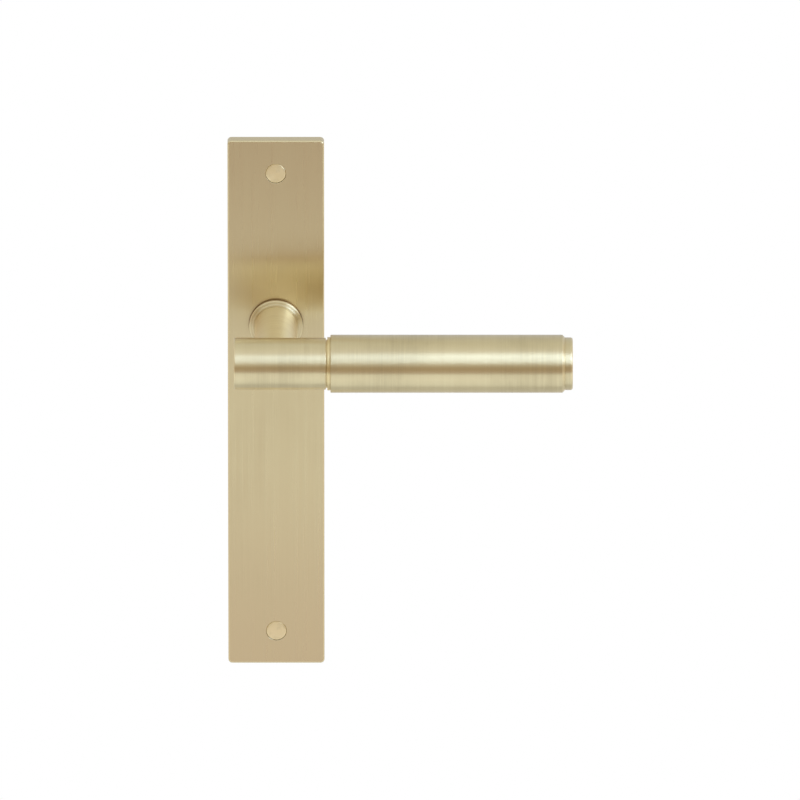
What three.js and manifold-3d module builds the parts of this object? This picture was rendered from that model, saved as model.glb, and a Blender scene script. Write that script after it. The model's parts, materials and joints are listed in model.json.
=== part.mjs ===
// Lever handle on a long back plate: a slim solid plate, a turned neck with a two-step collar, and a straight
// round lever made of a hub, a spacer ring, a slightly thicker grip sleeve and an end cap. Behind the plate sit
// the return spring cassette, the square spindle and the two machine screws that hold the plate to a door.
//
// Units are millimetres. +Z is up, +X is along the lever and -Y faces the person at the door. The origin is the
// centre of the plate's back face, which lies against the door.
import * as THREE from "three";
import { mergeVertices } from "three/addons/utils/BufferGeometryUtils.js";
import Module from "manifold-3d";

// ---------------------------------------------------------------------------- driving dimensions

const PLATE = { width: 40, height: 233, thick: 5, corner: 1.6, edge: 0.4 };
const FRONT = -PLATE.thick; // y of the plate's front face
const SPINDLE_Z = 35; // height of the spindle above the plate's centre
const FIXING_Z = 102; // height of each fixing screw above or below the plate's centre
const LEVER_STANDOFF = 44.6; // plate's front face to the lever's axis
const LEVER_Y = FRONT - LEVER_STANDOFF;
const TRAVEL = 50; // degrees that the lever turns down from its stop

const GAP = 0.1; // clearance between turned pieces that touch
const RUN = 0.2; // clearance between turned pieces that move on each other
const DRILLED = 0.15; // clearance of a drilled or keyed hole round what goes through it
const CAST = 0.3; // clearance round cast and pressed shapes
const DEBURR = 0.3; // chamfer on the ends and rims of hidden pieces
const THROUGH = 1; // how far a cutting tool reaches past the face that it cuts

const NECK = { radius: 8.85, shank: 7.95, shoulder: FRONT + 1, end: 12.4, flat: 6.9 };
const COLLAR = { foot: 10.9, step: 9.9, back: FRONT + 0.9, ledge: FRONT - 1.3, front: FRONT - 2.6, edge: 0.25 };
const SPIGOT = { radius: 5, end: LEVER_Y + 2.2 };
const SOCKET = { width: 8.3, floor: -28 }; // square hole for the spindle
const SPINDLE = { width: 8, front: -23.8, length: 85, edge: 0.5 };
const GRUB = { radius: 2.4, y: -13, outer: 8.3, socket: 2.5, depth: 1.7 };
const NECK_BOLT = { head: 4, headBack: -24.2, headFront: -27.9, shank: 2.5, tip: -52.9, socket: 4, depth: 2 };

const HUB = { radius: 10.75, left: -17.2, right: 20.8, edge: 0.5, grooveEdge: 0.35, bore: 6.2, boreFloor: 9 };
const RING = { left: HUB.right + GAP, right: HUB.right + 1.8, radius: 11.05, groove: 0.5, grooveRadius: 10.4 };
const SLEEVE = { left: RING.right + GAP, right: 119.6, radius: 12, bore: 9.3, leftEdge: 0.3, rightEdge: 1 };
const CORE = { radius: 9, tenon: 6.05, left: HUB.boreFloor + CAST, right: SLEEVE.right - RUN };
const END_CAP = { left: SLEEVE.right + GAP, right: 122.9, radius: 10.9, boss: 6, bossLeft: 112, edge: 0.6 };
const STUD = { radius: 2.9, left: 104, right: 118.4 };

const POCKET = { depth: 2, radius: 18.1, bore: 11.2 }; // recess in the plate's back for the cassette
const EAR = { radius: 6, reach: 20.5, screw: 21.5, sides: 6 }; // the cassette's two fixing ears
const HOUSING = {
  floorFront: -POCKET.depth + GAP, floorBack: -0.6, rim: 8, outer: 17.8, inner: 16.2, hole: 9.8,
};
const BUSH = { inner: NECK.shank + RUN, flange: 11, neck: 9.6, front: FRONT + 1.2, step: -2.05, back: -0.5 };
const COVER = { front: HOUSING.rim + GAP, back: HOUSING.rim + 1.1, hole: 8.5, lug: 5, lugDepth: 1.5 };
const DRIVER = {
  front: -0.35, back: 7.4, sleeve: 10.4, armBack: 1.1, armWidth: 4, tabInner: 14.3, tabOuter: 15.6,
};
const DRIVER_REST = 155; // clock angle of the driver's arm when the lever is level
const TAB_BACK = COVER.back + CAST;
const SPRING = { wire: 0.85, radius: 12.7, front: 2.2, back: 6.8, fixedAngle: 20, turns: 2, legOuter: 17.3 };
const WASHER = { inner: 8.4, outer: 11, front: COVER.back + 0.15, thick: 0.6 };
const CIRCLIP = {
  groove: 7.1, inner: 7.25, outer: 9.6, front: 10.15, back: 11.05, gapAngle: 40, lug: 1.7, eyeHole: 0.7,
};

const CAP = { radius: 4.15, front: FRONT + 0.05, back: FRONT + 1.05, edge: 0.25 };
const FIXING = {
  head: 3.9, headFront: FRONT + 1.25, shank: 2, tip: 26.25, slotLength: 4.4, slotWidth: 0.9, slotDepth: 1.1,
};
const CASSETTE_SCREW = { head: 2.7, shank: 1.4, tip: -4.05, slotLength: 3.2, slotWidth: 0.7, slotDepth: 0.7 };
const POINT = 0.5; // chamfer on a screw's end and on the shank's end

const FINE = 48; // sides of the round pieces that show
const MEDIUM = 36; // sides of the hidden round pieces
const COARSE = 24; // sides of the screws
const EYE_SIDES = 12; // sides of the circlip's eye holes

// ---------------------------------------------------------------------------- materials

const standard = (color, roughness, metalness) =>
  new THREE.MeshStandardMaterial({ color, roughness, metalness });
const SATIN_BRASS = standard(0xc9b88a, 0.38, 1);
const TURNED_BRASS = standard(0xcdb57c, 0.32, 1);
const RAW_BRASS = standard(0xb89a58, 0.42, 1);
const ZINC_STEEL = standard(0xa9adb0, 0.35, 1);
const DARK_STEEL = standard(0x3c3d40, 0.4, 0.9);
const SPRING_STEEL = standard(0x6d7075, 0.3, 1);
const CAST_ZINC = standard(0x8d9092, 0.55, 0.9);
const BLACK_ACETAL = standard(0x2b2b2d, 0.5, 0);

// ---------------------------------------------------------------------------- solids

const wasm = await Module();
wasm.setup();

const MERGE_WITHIN = 1e-3;
const radians = THREE.MathUtils.degToRad;

// A closed geometry as a manifold-3d solid.
function solidOf(geometry) {
  const flat = geometry.index ? geometry.toNonIndexed() : geometry;
  const bare = new THREE.BufferGeometry().setAttribute("position", flat.getAttribute("position"));
  const merged = mergeVertices(bare, MERGE_WITHIN);
  const vertProperties = merged.getAttribute("position").array;
  const triVerts = new Uint32Array(merged.index.array);
  return new wasm.Manifold(new wasm.Mesh({ numProp: 3, vertProperties, triVerts }));
}

// A manifold-3d solid as a flat-shaded geometry.
function geometryOf(solid) {
  const mesh = solid.getMesh();
  const geometry = new THREE.BufferGeometry();
  const points = new THREE.BufferAttribute(new Float32Array(mesh.vertProperties), mesh.numProp);
  geometry.setAttribute("position", points);
  geometry.setIndex(new THREE.BufferAttribute(new Uint32Array(mesh.triVerts), 1));
  const faceted = geometry.toNonIndexed();
  faceted.computeVertexNormals();
  return faceted;
}

const cut = (base, ...tools) => tools.reduce((left, tool) => left.subtract(solidOf(tool)), base);
const join = (...geometries) => geometries.map(solidOf).reduce((all, one) => all.add(one));

// A solid of revolution about Y from [radius, y] pairs, listed from low y to high y outside and back inside.
function turned(profile, sides) {
  const points = profile.map(([radius, y]) => new THREE.Vector2(radius, y));
  return new THREE.LatheGeometry(points, sides);
}

// A plain or chamfered cylinder along Y.
function bar(radius, low, high, sides, lowEdge = 0, highEdge = 0) {
  const profile = [[0, low], [radius - lowEdge, low]];
  if (lowEdge) profile.push([radius, low + lowEdge]);
  if (highEdge) profile.push([radius, high - highEdge]);
  profile.push([radius - highEdge, high], [0, high]);
  return turned(profile, sides);
}

// A tube along Y with square edges.
function tube(inner, outer, low, high, sides) {
  return turned([[inner, low], [outer, low], [outer, high], [inner, high], [inner, low]], sides);
}

// A box from its lowest to its highest corner.
function block(low, high) {
  const size = high.map((value, i) => value - low[i]);
  const middle = high.map((value, i) => (value + low[i]) / 2);
  return new THREE.BoxGeometry(...size).translate(...middle);
}

// A 2-D shape in X and Z, pulled along Y from low to high.
function pulled(shape, low, high, curveSegments) {
  const flat = new THREE.ExtrudeGeometry(shape, { depth: high - low, bevelEnabled: false, curveSegments });
  return flat.rotateX(Math.PI / 2).translate(0, high, 0);
}

// Clock angle in degrees, from +Z towards +X, as a point at that radius.
function clock(angle, radius, y) {
  return new THREE.Vector3(radius * Math.sin(radians(angle)), y, radius * Math.cos(radians(angle)));
}

// A closed piece of a ring about Y between two clock angles.
function ringSector(inner, outer, from, to, low, high) {
  const shape = new THREE.Shape();
  const start = Math.PI / 2 - radians(to);
  const end = Math.PI / 2 - radians(from);
  shape.absarc(0, 0, outer, start, end, false);
  shape.absarc(0, 0, inner, end, start, true);
  return pulled(shape, low, high, Math.ceil(MEDIUM * (to - from) / 720));
}

function roundedRectangle(width, height, radius) {
  const [x, y] = [width / 2, height / 2];
  const shape = new THREE.Shape();
  shape.absarc(x - radius, y - radius, radius, 0, Math.PI / 2);
  shape.absarc(radius - x, y - radius, radius, Math.PI / 2, Math.PI);
  shape.absarc(radius - x, radius - y, radius, Math.PI, 1.5 * Math.PI);
  shape.absarc(x - radius, radius - y, radius, 1.5 * Math.PI, 2 * Math.PI);
  return shape;
}

// A stadium outline with round ends at the ears' centres.
function earOutline(radius) {
  const shape = new THREE.Shape();
  shape.absarc(0, EAR.reach, radius, 0, Math.PI);
  shape.absarc(0, -EAR.reach, radius, Math.PI, 2 * Math.PI);
  return shape;
}

// Two crossed slots sunk into a screw head from its face towards +Y or -Y.
function crossSlots({ slotLength, slotWidth, slotDepth }, face, into) {
  const [low, high] = into > 0 ? [face - THROUGH, face + slotDepth] : [face - slotDepth, face + THROUGH];
  const arm = () => block([-slotLength / 2, low, -slotWidth / 2], [slotLength / 2, high, slotWidth / 2]);
  return [45, 135].map((angle) => arm().rotateY(radians(angle)));
}

// A hexagonal hole along Y, given its width across flats.
function hexHole(acrossFlats, low, high) {
  const radius = acrossFlats / Math.sqrt(3);
  return turned([[0, low], [radius, low], [radius, high], [0, high]], 6);
}

// ---------------------------------------------------------------------------- scene graph

const handle = new THREE.Group();
const spindleLine = new THREE.Group(); // Y is the spindle's axis
spindleLine.position.z = SPINDLE_Z;
const leverLine = new THREE.Group(); // Y is the lever's axis, and -X faces the door
leverLine.position.set(0, LEVER_Y, SPINDLE_Z);
leverLine.rotation.z = -Math.PI / 2;
handle.add(spindleLine, leverLine);

function place(parent, name, geometry, material) {
  const mesh = new THREE.Mesh(geometry, material);
  mesh.name = name;
  parent.add(mesh);
  return mesh;
}

// ---------------------------------------------------------------------------- plate and its fixings

function backPlate() {
  const outline = roundedRectangle(PLATE.width, PLATE.height, PLATE.corner);
  const options = { depth: PLATE.thick - PLATE.edge, curveSegments: 3, bevelSegments: 1, steps: 1 };
  options.bevelThickness = PLATE.edge;
  options.bevelSize = PLATE.edge;
  options.bevelOffset = -PLATE.edge;
  const slab = new THREE.ExtrudeGeometry(outline, options).rotateX(Math.PI / 2);
  const behind = block([-PLATE.width, 0, -PLATE.height], [PLATE.width, PLATE.thick, PLATE.height]);
  const ears = pulled(earOutline(EAR.radius + CAST), -POCKET.depth, THROUGH, EAR.sides);
  const cassetteHoles = [EAR.screw, -EAR.screw].map((z) =>
    bar(CASSETTE_SCREW.shank + GAP, CASSETTE_SCREW.tip - RUN, 0, COARSE).translate(0, 0, z));
  const spindleCuts = [
    bar(POCKET.bore, FRONT - THROUGH, THROUGH, FINE),
    bar(POCKET.radius, -POCKET.depth, THROUGH, MEDIUM),
    ears,
    ...cassetteHoles,
  ].map((tool) => tool.translate(0, 0, SPINDLE_Z));
  const fixingCuts = [FIXING_Z, -FIXING_Z].map((z) => fixingHole().translate(0, 0, z));
  // The bevelled slab is one edge too thick at the back, and the block takes that off.
  return geometryOf(cut(solidOf(slab), behind, ...spindleCuts, ...fixingCuts));
}

// The stepped hole for one fixing screw: a seat for the cap, a countersink and a clearance hole.
function fixingHole() {
  const seat = CAP.radius + DRILLED;
  const coneFront = FIXING.headFront - GAP / 2;
  const mouth = FIXING.head + DRILLED;
  const hole = FIXING.shank + RUN;
  return turned([
    [0, FRONT - THROUGH], [seat, FRONT - THROUGH], [seat, coneFront], [mouth, coneFront],
    [hole, coneFront + mouth - hole], [hole, THROUGH], [0, THROUGH],
  ], COARSE);
}

// A countersunk machine screw with a cross recess. Its head faces -Y.
function fixingScrew() {
  const neck = FIXING.headFront + FIXING.head - FIXING.shank;
  const body = turned([
    [0, FIXING.headFront], [FIXING.head, FIXING.headFront], [FIXING.shank, neck],
    [FIXING.shank, FIXING.tip - POINT], [FIXING.shank - POINT, FIXING.tip], [0, FIXING.tip],
  ], COARSE);
  return geometryOf(cut(solidOf(body), ...crossSlots(FIXING, FIXING.headFront, 1)));
}

place(handle, "backplate", backPlate(), SATIN_BRASS);
for (const [side, z] of [["top", FIXING_Z], ["bottom", -FIXING_Z]]) {
  place(handle, `${side}_fixing_screw`, fixingScrew(), ZINC_STEEL).position.z = z;
  const cap = bar(CAP.radius, CAP.front, CAP.back, COARSE, CAP.edge);
  place(handle, `${side}_screw_cap`, cap, TURNED_BRASS).position.z = z;
}

// ---------------------------------------------------------------------------- neck and what turns with it

// Round shank, square socket, saddle for the hub, spigot, and the holes for the bolt and the grub screw.
function neck() {
  const body = join(
    bar(NECK.shank, NECK.shoulder - THROUGH, NECK.end, FINE, 0, POINT),
    bar(NECK.radius, LEVER_Y + HUB.radius / 2, NECK.shoulder, FINE),
  );
  const saddle = bar(HUB.radius + GAP, -2 * HUB.radius, 2 * HUB.radius, FINE).rotateZ(Math.PI / 2);
  const half = SOCKET.width / 2;
  const flats = [1, -1].map((side) => block(
    [side > 0 ? NECK.flat : -2 * NECK.shank, DRIVER.front - RUN, -NECK.shank - THROUGH],
    [side > 0 ? 2 * NECK.shank : -NECK.flat, NECK.end + THROUGH, NECK.shank + THROUGH]));
  const shaped = cut(
    body,
    saddle.translate(0, LEVER_Y, 0),
    tube(CIRCLIP.groove, NECK.shank + THROUGH, CIRCLIP.front - GAP, CIRCLIP.back + GAP, MEDIUM),
    ...flats,
  ).add(solidOf(bar(SPIGOT.radius, SPIGOT.end, LEVER_Y + HUB.radius + THROUGH, FINE)));
  return geometryOf(cut(
    shaped,
    block([-half, SOCKET.floor, -half], [half, NECK.end + THROUGH, half]),
    bar(NECK_BOLT.shank + RUN, SPIGOT.end - THROUGH, SOCKET.floor + THROUGH, COARSE),
    bar(GRUB.radius + DRILLED, half - THROUGH, NECK.radius + THROUGH, COARSE)
      .rotateX(-Math.PI / 2)
      .translate(0, GRUB.y, 0),
  ));
}

function collar() {
  const { foot, step, back, ledge, front, edge } = COLLAR;
  const inner = NECK.radius + GAP;
  return turned([
    [inner, front], [step - edge, front], [step, front + edge], [step, ledge],
    [foot - edge, ledge], [foot, ledge + edge], [foot, back], [inner, back], [inner, front],
  ], FINE);
}

// A square bar with chamfered ends.
function spindle() {
  const half = SPINDLE.width / 2;
  const end = SPINDLE.front + SPINDLE.length;
  const corner = half * Math.SQRT2;
  const tip = corner - SPINDLE.edge;
  const square = turned([
    [0, SPINDLE.front], [tip, SPINDLE.front], [corner, SPINDLE.front + SPINDLE.edge],
    [corner, end - SPINDLE.edge], [tip, end], [0, end],
  ], 4);
  return square.rotateY(Math.PI / 4);
}

// A socket set screw. Its socket faces +Y before it is turned to point down.
function grubScrew() {
  const inner = SPINDLE.width / 2 + RUN;
  const body = solidOf(bar(GRUB.radius, inner, GRUB.outer, COARSE, POINT, DEBURR));
  return geometryOf(cut(body, hexHole(GRUB.socket, GRUB.outer - GRUB.depth, GRUB.outer + THROUGH)));
}

// A cap screw whose head sits at the bottom of the square socket and whose shank holds the hub.
function neckBolt() {
  const { head, headBack, headFront, shank, tip, socket, depth } = NECK_BOLT;
  const body = turned([
    [0, tip], [shank - POINT, tip], [shank, tip + POINT], [shank, headFront], [head, headFront],
    [head, headBack - DEBURR], [head - DEBURR, headBack], [0, headBack],
  ], COARSE);
  return geometryOf(cut(solidOf(body), hexHole(socket, headBack - depth, headBack + THROUGH)));
}

place(spindleLine, "neck", neck(), SATIN_BRASS);
place(spindleLine, "neck_collar", collar(), SATIN_BRASS);
place(spindleLine, "spindle", spindle(), ZINC_STEEL);
place(spindleLine, "neck_bolt", neckBolt(), DARK_STEEL);
const grub = place(spindleLine, "spindle_grub_screw", grubScrew(), DARK_STEEL);
grub.rotation.x = -Math.PI / 2;
grub.position.y = GRUB.y;

// ---------------------------------------------------------------------------- spring cassette

function bush() {
  const { inner, flange, neck: spigot, front, step, back } = BUSH;
  return turned([[inner, front], [flange, front], [flange, step], [spigot, step], [spigot, back], [inner, back],
    [inner, front]], MEDIUM);
}

// A flat-bottomed cup with two ears, a slot for the spring's fixed leg and two notches for the cover's lugs.
function housing() {
  const { floorFront, floorBack, rim, outer, inner, hole } = HOUSING;
  const cup = join(
    bar(outer, floorFront, rim, MEDIUM),
    pulled(earOutline(EAR.radius), floorFront, floorBack, EAR.sides),
  );
  const halfSlot = SPRING.wire + CAST;
  const legSlot = block([-halfSlot, SPRING.back - halfSlot, inner - THROUGH],
    [halfSlot, rim + THROUGH, outer + THROUGH]).rotateY(radians(SPRING.fixedAngle));
  const head = CASSETTE_SCREW.head + GAP;
  const shank = CASSETTE_SCREW.shank + GAP;
  const screwHoles = [EAR.screw, -EAR.screw].map((z) => turned([
    [0, floorFront - THROUGH], [shank, floorFront - THROUGH], [shank, floorBack - head + shank],
    [head, floorBack], [head, rim], [0, rim],
  ], COARSE).translate(0, 0, z));
  return geometryOf(cut(
    cup,
    bar(inner, floorBack, rim + THROUGH, MEDIUM),
    bar(hole, floorFront - THROUGH, rim, MEDIUM),
    legSlot,
    ...[1, -1].map((side) => lug(side, RUN)),
    ...screwHoles,
  ));
}

// One of the cover's locating lugs, or with a clearance the notch that it sits in.
function lug(side, clearance) {
  const half = COVER.lug / 2 + clearance;
  const front = COVER.front - COVER.lugDepth - clearance;
  const near = clearance ? HOUSING.inner - THROUGH : HOUSING.inner + GAP;
  const far = clearance ? HOUSING.outer + THROUGH : HOUSING.outer - RUN;
  const [low, high] = side > 0 ? [near, far] : [-far, -near];
  return block([low, front, -half], [high, COVER.front + (clearance ? THROUGH : 0.5), half]);
}

// The arc that the driver's tab sweeps, with a little room at both stops.
function tabSlot() {
  const halfTab = THREE.MathUtils.radToDeg(DRIVER.armWidth / 2 / DRIVER.tabInner);
  const room = 1.2;
  const from = DRIVER_REST - halfTab - room;
  const to = DRIVER_REST + TRAVEL + halfTab + room;
  const [inner, outer] = [DRIVER.tabInner - CAST, DRIVER.tabOuter + CAST];
  return ringSector(inner, outer, from, to, COVER.front - THROUGH, COVER.back + THROUGH);
}

function cover() {
  const disc = join(bar(HOUSING.outer, COVER.front, COVER.back, MEDIUM), lug(1, 0), lug(-1, 0));
  return geometryOf(cut(disc, bar(COVER.hole, COVER.front - THROUGH, COVER.back + THROUGH, MEDIUM), tabSlot()));
}

// A sleeve on the shank's flats with one arm, whose tab pushes the spring and meets the stops.
function driver() {
  const { front, back, sleeve, armBack, armWidth, tabInner, tabOuter } = DRIVER;
  const half = armWidth / 2;
  const arm = block([-half, front, sleeve - 2], [half, armBack, tabOuter]).rotateY(radians(DRIVER_REST));
  const tab = block([-half, front, tabInner], [half, TAB_BACK, tabOuter]).rotateY(radians(DRIVER_REST));
  const flat = NECK.flat + DRILLED;
  const keyed = solidOf(bar(NECK.shank + DRILLED, front - THROUGH, back + THROUGH, MEDIUM)).intersect(
    solidOf(block([-flat, front - THROUGH, -2 * sleeve], [flat, back + THROUGH, 2 * sleeve])));
  return geometryOf(join(bar(sleeve, front, back, MEDIUM), arm, tab).subtract(keyed));
}

// The wire's centreline: the moving leg beside the driver's tab, the coils, and the fixed leg in its slot.
class SpringLine extends THREE.Curve {
  getPoint(share) {
    const tabEdge = THREE.MathUtils.radToDeg((DRIVER.armWidth / 2 + SPRING.wire + RUN) / DRIVER.tabInner);
    const from = SPRING.fixedAngle;
    const to = DRIVER_REST + tabEdge + 360 * SPRING.turns;
    const along = THREE.MathUtils.clamp((share - SpringLine.leg) / (1 - 2 * SpringLine.leg), 0, 1);
    const fixedPart = THREE.MathUtils.clamp(1 - share / SpringLine.leg, 0, 1);
    const movingPart = THREE.MathUtils.clamp((share - 1 + SpringLine.leg) / SpringLine.leg, 0, 1);
    const fixedReach = fixedPart * (SPRING.legOuter - SPRING.radius);
    const movingReach = movingPart * (DRIVER.tabOuter - SPRING.radius);
    const y = SPRING.back + (SPRING.front - SPRING.back) * along;
    return clock(from + (to - from) * along, SPRING.radius + fixedReach + movingReach, y);
  }
}
SpringLine.leg = 0.025; // share of the line that each leg takes

function returnSpring() {
  const section = new THREE.Shape().absarc(0, 0, SPRING.wire, 0, 2 * Math.PI);
  const options = { steps: 80, curveSegments: 4, bevelEnabled: false, extrudePath: new SpringLine() };
  return new THREE.ExtrudeGeometry(section, options);
}

function cassetteScrew() {
  const { head, shank, tip } = CASSETTE_SCREW;
  const face = HOUSING.floorBack;
  const body = turned([[0, tip], [shank, tip], [shank, face - head + shank], [head, face], [0, face]], COARSE);
  return geometryOf(cut(solidOf(body), ...crossSlots(CASSETTE_SCREW, face, -1)));
}

function waveWasher() {
  return tube(WASHER.inner, WASHER.outer, WASHER.front, WASHER.front + WASHER.thick, MEDIUM);
}

// An external retaining ring, open at the top, with an eye at each end of the opening.
function circlip() {
  const { inner, outer, front, back, gapAngle, lug: eye, eyeHole } = CIRCLIP;
  const ring = solidOf(ringSector(inner, outer, gapAngle / 2, 360 - gapAngle / 2, front, back));
  const eyes = [1, -1].map((side) => {
    const centre = clock(side * (gapAngle / 2 + 4), outer + 0.1, 0);
    const at = (geometry) => solidOf(geometry.translate(centre.x, 0, centre.z));
    const hole = bar(eyeHole, front - THROUGH, back + THROUGH, EYE_SIDES);
    return { disc: at(bar(eye, front, back, COARSE)), hole: at(hole) };
  });
  const bore = solidOf(bar(inner, front - THROUGH, back + THROUGH, MEDIUM));
  return geometryOf(eyes.reduce((all, { disc, hole }) => all.add(disc).subtract(hole), ring).subtract(bore));
}

place(spindleLine, "neck_bush", bush(), BLACK_ACETAL);
place(spindleLine, "cassette_housing", housing(), CAST_ZINC);
place(spindleLine, "cassette_cover", cover(), ZINC_STEEL);
place(spindleLine, "spring_driver", driver(), ZINC_STEEL);
place(spindleLine, "return_spring", returnSpring(), SPRING_STEEL);
place(spindleLine, "wave_washer", waveWasher(), SPRING_STEEL);
place(spindleLine, "circlip", circlip(), DARK_STEEL);
for (const [side, z] of [["upper", EAR.screw], ["lower", -EAR.screw]]) {
  place(spindleLine, `${side}_cassette_screw`, cassetteScrew(), ZINC_STEEL).position.z = z;
}

// ---------------------------------------------------------------------------- lever, along its own Y

// A bar with a bore for the core's tenon, and on the door's side a socket for the neck's spigot and its bolt.
function hub() {
  const body = solidOf(bar(HUB.radius, HUB.left, HUB.right, FINE, HUB.edge, HUB.grooveEdge));
  const back = -HUB.radius - THROUGH;
  const spigotHole = bar(SPIGOT.radius + DRILLED, back, LEVER_Y - SPIGOT.end + CAST, FINE);
  const boltHole = bar(NECK_BOLT.shank + GAP, back, LEVER_Y - NECK_BOLT.tip + POINT, COARSE);
  const toDoor = (geometry) => geometry.rotateZ(-Math.PI / 2);
  return geometryOf(cut(
    body,
    bar(HUB.bore, HUB.boreFloor, HUB.right + THROUGH, MEDIUM),
    toDoor(spigotHole),
    toDoor(boltHole),
  ));
}

function spacerRing() {
  const { left, right, radius, groove, grooveRadius } = RING;
  const inner = CORE.radius + RUN;
  return turned([[inner, left], [grooveRadius, left], [grooveRadius, left + groove], [radius, left + groove],
    [radius, right], [inner, right], [inner, left]], FINE);
}

function gripSleeve() {
  const { left, right, radius, bore, leftEdge, rightEdge } = SLEEVE;
  return turned([
    [bore, left], [radius - leftEdge, left], [radius, left + leftEdge], [radius, right - rightEdge],
    [radius - rightEdge, right], [bore, right], [bore, left],
  ], FINE);
}

function coreBar() {
  const { radius, tenon, left, right } = CORE;
  const shoulder = HUB.right + CAST;
  const counterbore = END_CAP.boss + RUN;
  const tapped = STUD.radius + GAP;
  return turned([
    [0, left], [tenon, left], [tenon, shoulder], [radius, shoulder], [radius, right], [counterbore, right],
    [counterbore, END_CAP.bossLeft - RUN], [tapped, END_CAP.bossLeft - RUN], [tapped, STUD.left - POINT],
    [0, STUD.left - POINT],
  ], MEDIUM);
}

function endCap() {
  const { left, right, radius, boss, bossLeft, edge } = END_CAP;
  const tapped = STUD.radius + GAP;
  return turned([
    [tapped, bossLeft], [boss, bossLeft], [boss, left], [radius, left], [radius, right - edge],
    [radius - edge, right], [0, right], [0, STUD.right + CAST], [tapped, STUD.right + CAST], [tapped, bossLeft],
  ], FINE);
}

place(leverLine, "lever_hub", hub(), SATIN_BRASS);
place(leverLine, "spacer_ring", spacerRing(), TURNED_BRASS);
place(leverLine, "grip_sleeve", gripSleeve(), SATIN_BRASS);
place(leverLine, "core_bar", coreBar(), RAW_BRASS);
place(leverLine, "end_cap", endCap(), SATIN_BRASS);
place(leverLine, "end_cap_stud", bar(STUD.radius, STUD.left, STUD.right, COARSE, POINT, POINT), ZINC_STEEL);

export default handle;
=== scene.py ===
"""Looks for the lever handle: smooth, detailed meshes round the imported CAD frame, satin brass and other
metals, a white studio and a long-lens camera. Shapes are worked out in millimetres, then made metres."""

import json
import math

import bmesh
import bpy
from mathutils import Matrix, Vector


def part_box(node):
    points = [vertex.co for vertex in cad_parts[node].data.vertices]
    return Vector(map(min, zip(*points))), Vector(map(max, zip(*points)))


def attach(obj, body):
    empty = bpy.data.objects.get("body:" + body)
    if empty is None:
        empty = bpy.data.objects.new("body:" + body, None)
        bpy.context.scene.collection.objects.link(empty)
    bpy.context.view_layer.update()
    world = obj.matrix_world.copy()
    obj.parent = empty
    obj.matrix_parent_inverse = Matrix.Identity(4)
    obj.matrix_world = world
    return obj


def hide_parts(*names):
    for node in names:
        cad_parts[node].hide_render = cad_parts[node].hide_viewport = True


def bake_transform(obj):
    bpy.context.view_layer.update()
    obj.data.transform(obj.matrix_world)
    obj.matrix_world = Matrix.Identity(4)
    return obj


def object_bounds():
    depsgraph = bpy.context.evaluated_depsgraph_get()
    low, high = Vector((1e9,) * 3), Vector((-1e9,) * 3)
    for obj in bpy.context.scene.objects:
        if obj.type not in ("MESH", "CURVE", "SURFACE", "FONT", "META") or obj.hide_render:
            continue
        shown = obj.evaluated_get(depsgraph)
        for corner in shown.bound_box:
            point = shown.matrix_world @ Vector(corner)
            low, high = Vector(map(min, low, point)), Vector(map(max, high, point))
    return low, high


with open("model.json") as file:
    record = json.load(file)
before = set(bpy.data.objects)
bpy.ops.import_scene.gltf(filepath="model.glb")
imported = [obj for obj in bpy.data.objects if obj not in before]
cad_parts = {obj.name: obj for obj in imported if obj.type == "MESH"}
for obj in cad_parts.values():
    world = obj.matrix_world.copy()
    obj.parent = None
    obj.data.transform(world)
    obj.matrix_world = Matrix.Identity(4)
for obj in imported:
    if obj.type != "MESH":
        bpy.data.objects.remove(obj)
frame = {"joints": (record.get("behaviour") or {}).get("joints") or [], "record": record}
CAD_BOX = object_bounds()

MM = 0.001
X, Y, Z = 0, 1, 2


def span(node, axis):
    """Lowest and highest coordinate of a CAD node along an axis, in millimetres."""
    low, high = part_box(node)
    return low[axis] / MM, high[axis] / MM


def radius_of(node):
    """Half a CAD node's height in millimetres, which is the radius of one that is round seen along X or Y."""
    low, high = span(node, Z)
    return (high - low) / 2


# ------------------------------------------------------------------ driving sizes, in millimetres

PLATE_FRONT, PLATE_BACK = span("backplate", Y)
SPINDLE_Z = frame["joints"][0]["pos_m"][Z] / MM
LEVER_Y = sum(span("grip_sleeve", Y)) / 2
SPINDLE_LINE = Vector((0, 0, SPINDLE_Z))
LEVER_LINE = Vector((0, LEVER_Y, SPINDLE_Z))
FIXING_Z = sum(span("top_screw_cap", Z)) / 2

SIDES = 128  # round pieces that show
FEW_SIDES = 64  # small or hidden round pieces
ARC_STEPS = 4  # straight stretches in a rounded corner
TINY = 1e-6
SHARP = math.radians(32)  # faces that meet at more than this keep a crisp edge


# ------------------------------------------------------------------ solids, as bmeshes in millimetres

def rounded(corners):
    """Points of a closed outline whose corners are (u, v), or (u, v, radius) for one drawn as an arc."""
    points = []
    for i, corner in enumerate(corners):
        here = Vector(corner[:2])
        radius = corner[2] if len(corner) > 2 else 0
        if not radius:
            points.append(here)
            continue
        before = (Vector(corners[i - 1][:2]) - here).normalized()
        after = (Vector(corners[(i + 1) % len(corners)][:2]) - here).normalized()
        half = before.angle(after) / 2
        centre = here + (before + after).normalized() * radius / math.sin(half)
        start = here + before * radius / math.tan(half) - centre
        end = here + after * radius / math.tan(half) - centre
        sweep = start.angle_signed(end)
        for step in range(ARC_STEPS + 1):
            points.append(centre + Matrix.Rotation(-sweep * step / ARC_STEPS, 2) @ start)
    return points


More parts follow.
